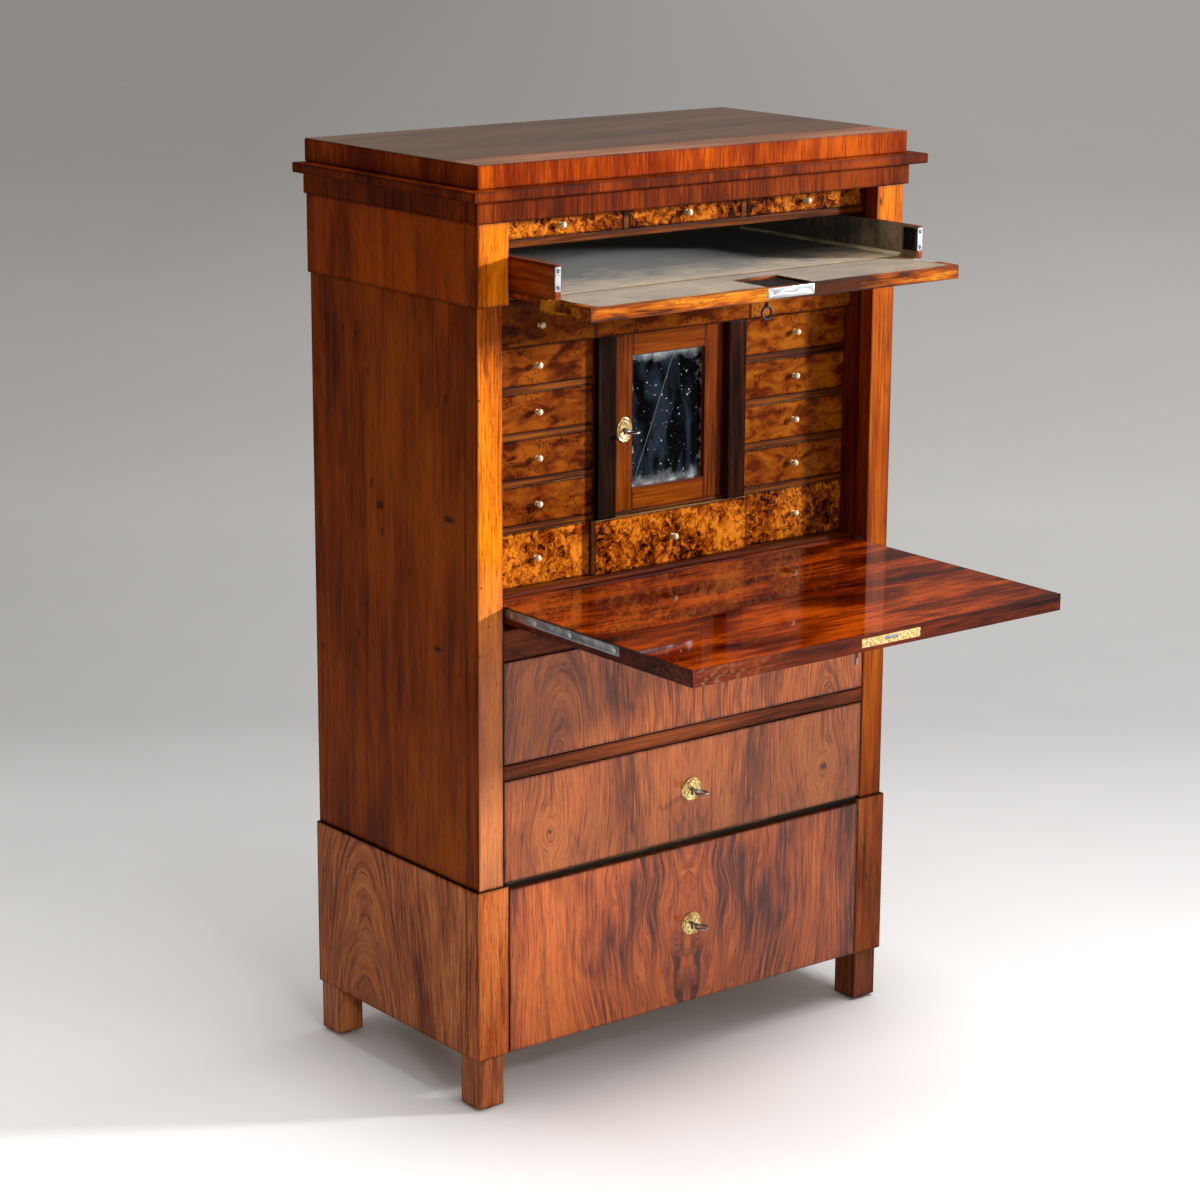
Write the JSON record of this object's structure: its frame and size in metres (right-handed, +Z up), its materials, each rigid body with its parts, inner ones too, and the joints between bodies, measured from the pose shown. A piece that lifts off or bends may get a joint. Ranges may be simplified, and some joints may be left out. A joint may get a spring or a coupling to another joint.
{
  "type": "escritoire",
  "caption": "Tall fall-front writing cabinet with a fitted interior of small drawers and a mirrored door, a pull-out writing tray above and large drawers below.",
  "frame": {"origin": "on the floor, under the centre of the object's box; the body's front face is the plane Y = 0", "axes": "+X to the right seen from the front, +Y to the back, +Z up"},
  "size_m": [0.848, 0.844, 1.4],
  "materials": {
    "walnut_veneer": "french polished, vertical figure",
    "golden_veneer": "french polished, straight grain",
    "burl_veneer": "french polished burr",
    "dark_wood": "stained, satin",
    "drawer_wood": "planed, unfinished",
    "back_wood": "sawn, unfinished",
    "gilt_brass": "polished, aged",
    "bright_steel": "filed, worn",
    "lining_cloth": "worn, matt",
    "mirror_glass": "desilvered at the edges",
    "black_glide": "matt"
  },
  "bodies": {
    "case": {"feet": "walnut_veneer", "foot_glides": "black_glide", "side_panels": "walnut_veneer", "corner_stiles": "golden_veneer", "back_boards": "back_wood", "base_boards": "drawer_wood", "drawer_rails": "golden_veneer", "runners": "drawer_wood", "inner_liners": "golden_veneer", "interior_shelves": "golden_veneer", "interior_partitions": "golden_veneer", "threshold_strip": "golden_veneer", "pilasters": "dark_wood", "frieze_shelf": "golden_veneer", "fascia_boards": "walnut_veneer", "cornice_slab": "walnut_veneer", "top_boards": "walnut_veneer", "pivot_plates": "bright_steel"},
    "flap": {"fall_front": "walnut_veneer", "hinge_arms": "bright_steel", "flap_lock": "gilt_brass"},
    "flap_bolt": {"flap_bolt": "bright_steel"},
    "flap_key": {"flap_key": "bright_steel"},
    "tray": {"tray_box": "drawer_wood", "tray_lining": "lining_cloth", "tray_catches": "bright_steel"},
    "drop_panel": {"drop_front": "walnut_veneer", "drop_lining": "lining_cloth", "drop_lock": "bright_steel"},
    "drop_bolt": {"drop_bolt": "bright_steel"},
    "drop_key": {"drop_key": "bright_steel"},
    "upper_drawer": {"upper_drawer": "walnut_veneer", "upper_lock": "gilt_brass"},
    "middle_drawer": {"middle_drawer": "walnut_veneer", "middle_lock": "gilt_brass"},
    "base_drawer": {"base_drawer": "walnut_veneer", "base_lock": "gilt_brass"},
    "middle_key": {"middle_key": "bright_steel"},
    "base_key": {"base_key": "bright_steel"},
    "door": {"door_frame": "golden_veneer", "door_mirror": "mirror_glass", "door_fittings": "gilt_brass"},
    "door_key": {"door_key": "bright_steel"},
    "left_drawer_1": {"left_drawer_1": "burl_veneer"},
    "right_drawer_1": {"right_drawer_1": "burl_veneer"},
    "left_drawer_2": {"left_drawer_2": "burl_veneer"},
    "right_drawer_2": {"right_drawer_2": "burl_veneer"},
    "left_drawer_3": {"left_drawer_3": "burl_veneer"},
    "right_drawer_3": {"right_drawer_3": "burl_veneer"},
    "left_drawer_4": {"left_drawer_4": "burl_veneer"},
    "right_drawer_4": {"right_drawer_4": "burl_veneer"},
    "bottom_left_drawer": {"bottom_left_drawer": "burl_veneer"},
    "bottom_centre_drawer": {"bottom_centre_drawer": "burl_veneer"},
    "bottom_right_drawer": {"bottom_right_drawer": "burl_veneer"},
    "top_left_drawer": {"top_left_drawer": "burl_veneer"},
    "top_centre_drawer": {"top_centre_drawer": "burl_veneer"},
    "top_right_drawer": {"top_right_drawer": "burl_veneer"},
    "frieze_left_drawer": {"frieze_left_drawer": "burl_veneer"},
    "frieze_centre_drawer": {"frieze_centre_drawer": "burl_veneer"},
    "frieze_right_drawer": {"frieze_right_drawer": "burl_veneer"}
  },
  "joints": [
    {"name": "flap_hinge", "type": "hinge", "parent": "case", "child": "flap", "pos_m": [0, 0.01775, 0.75925], "axis": [1, 0, 0], "range_deg": [-90, 0]},
    {"name": "flap_key_turn", "type": "hinge", "parent": "flap", "child": "flap_key", "pos_m": [0.012, -0.351, 0.74], "axis": [0, 0, 1], "range_deg": [0, 90]},
    {"name": "flap_bolt_slide", "type": "slide", "parent": "flap", "child": "flap_bolt", "axis": [0, -1, 0], "range_m": [0, 0.0061]},
    {"name": "tray_slide", "type": "slide", "parent": "case", "child": "tray", "axis": [0, -1, 0], "range_m": [-0.1065, 0.12]},
    {"name": "drop_hinge", "type": "hinge", "parent": "tray", "child": "drop_panel", "pos_m": [0, -0.096, 1.221], "axis": [1, 0, 0], "range_deg": [-90, 0]},
    {"name": "drop_key_turn", "type": "hinge", "parent": "drop_panel", "child": "drop_key", "pos_m": [0, -0.158, 1.2], "axis": [0, 0, 1], "range_deg": [0, 90]},
    {"name": "drop_bolt_slide", "type": "slide", "parent": "drop_panel", "child": "drop_bolt", "axis": [0, -1, 0], "range_m": [0, 0.0061]},
    {"name": "upper_slide", "type": "slide", "parent": "case", "child": "upper_drawer", "axis": [0, -1, 0], "range_m": [0, 0.28]},
    {"name": "middle_slide", "type": "slide", "parent": "case", "child": "middle_drawer", "axis": [0, -1, 0], "range_m": [0, 0.28]},
    {"name": "base_slide", "type": "slide", "parent": "case", "child": "base_drawer", "axis": [0, -1, 0], "range_m": [0, 0.28]},
    {"name": "middle_key_turn", "type": "hinge", "parent": "middle_drawer", "child": "middle_key", "pos_m": [0.003, -0.01, 0.42675], "axis": [0, 1, 0], "range_deg": [0, 90]},
    {"name": "base_key_turn", "type": "hinge", "parent": "base_drawer", "child": "base_key", "pos_m": [0.003, -0.014, 0.212], "axis": [0, 1, 0], "range_deg": [0, 90]},
    {"name": "door_hinge", "type": "hinge", "parent": "case", "child": "door", "pos_m": [0.099, 0.065, 0.983], "axis": [0, 0, 1], "range_deg": [0, 90]},
    {"name": "door_key_turn", "type": "hinge", "parent": "door", "child": "door_key", "pos_m": [-0.085, 0.05, 0.983], "axis": [0, 1, 0], "range_deg": [0, 90]},
    {"name": "left_1_slide", "type": "slide", "parent": "case", "child": "left_drawer_1", "axis": [0, -1, 0], "range_m": [0, 0.25]},
    {"name": "right_1_slide", "type": "slide", "parent": "case", "child": "right_drawer_1", "axis": [0, -1, 0], "range_m": [0, 0.25]},
    {"name": "left_2_slide", "type": "slide", "parent": "case", "child": "left_drawer_2", "axis": [0, -1, 0], "range_m": [0, 0.25]},
    {"name": "right_2_slide", "type": "slide", "parent": "case", "child": "right_drawer_2", "axis": [0, -1, 0], "range_m": [0, 0.25]},
    {"name": "left_3_slide", "type": "slide", "parent": "case", "child": "left_drawer_3", "axis": [0, -1, 0], "range_m": [0, 0.25]},
    {"name": "right_3_slide", "type": "slide", "parent": "case", "child": "right_drawer_3", "axis": [0, -1, 0], "range_m": [0, 0.25]},
    {"name": "left_4_slide", "type": "slide", "parent": "case", "child": "left_drawer_4", "axis": [0, -1, 0], "range_m": [0, 0.25]},
    {"name": "right_4_slide", "type": "slide", "parent": "case", "child": "right_drawer_4", "axis": [0, -1, 0], "range_m": [0, 0.25]},
    {"name": "bottom_left_slide", "type": "slide", "parent": "case", "child": "bottom_left_drawer", "axis": [0, -1, 0], "range_m": [0, 0.25]},
    {"name": "bottom_centre_slide", "type": "slide", "parent": "case", "child": "bottom_centre_drawer", "axis": [0, -1, 0], "range_m": [0, 0.25]},
    {"name": "bottom_right_slide", "type": "slide", "parent": "case", "child": "bottom_right_drawer", "axis": [0, -1, 0], "range_m": [0, 0.25]},
    {"name": "top_left_slide", "type": "slide", "parent": "case", "child": "top_left_drawer", "axis": [0, -1, 0], "range_m": [0, 0.25]},
    {"name": "top_centre_slide", "type": "slide", "parent": "case", "child": "top_centre_drawer", "axis": [0, -1, 0], "range_m": [0, 0.17]},
    {"name": "top_right_slide", "type": "slide", "parent": "case", "child": "top_right_drawer", "axis": [0, -1, 0], "range_m": [0, 0.25]},
    {"name": "frieze_left_slide", "type": "slide", "parent": "case", "child": "frieze_left_drawer", "axis": [0, -1, 0], "range_m": [0, 0.18]},
    {"name": "frieze_centre_slide", "type": "slide", "parent": "case", "child": "frieze_centre_drawer", "axis": [0, -1, 0], "range_m": [0, 0.18]},
    {"name": "frieze_right_slide", "type": "slide", "parent": "case", "child": "frieze_right_drawer", "axis": [0, -1, 0], "range_m": [0, 0.18]}
  ],
  "couplings": [
    {"joint": "flap_bolt_slide", "follows": "flap_key_turn", "m_per_rad": 0.0038197},
    {"joint": "drop_bolt_slide", "follows": "drop_key_turn", "m_per_rad": 0.0038197}
  ]
}
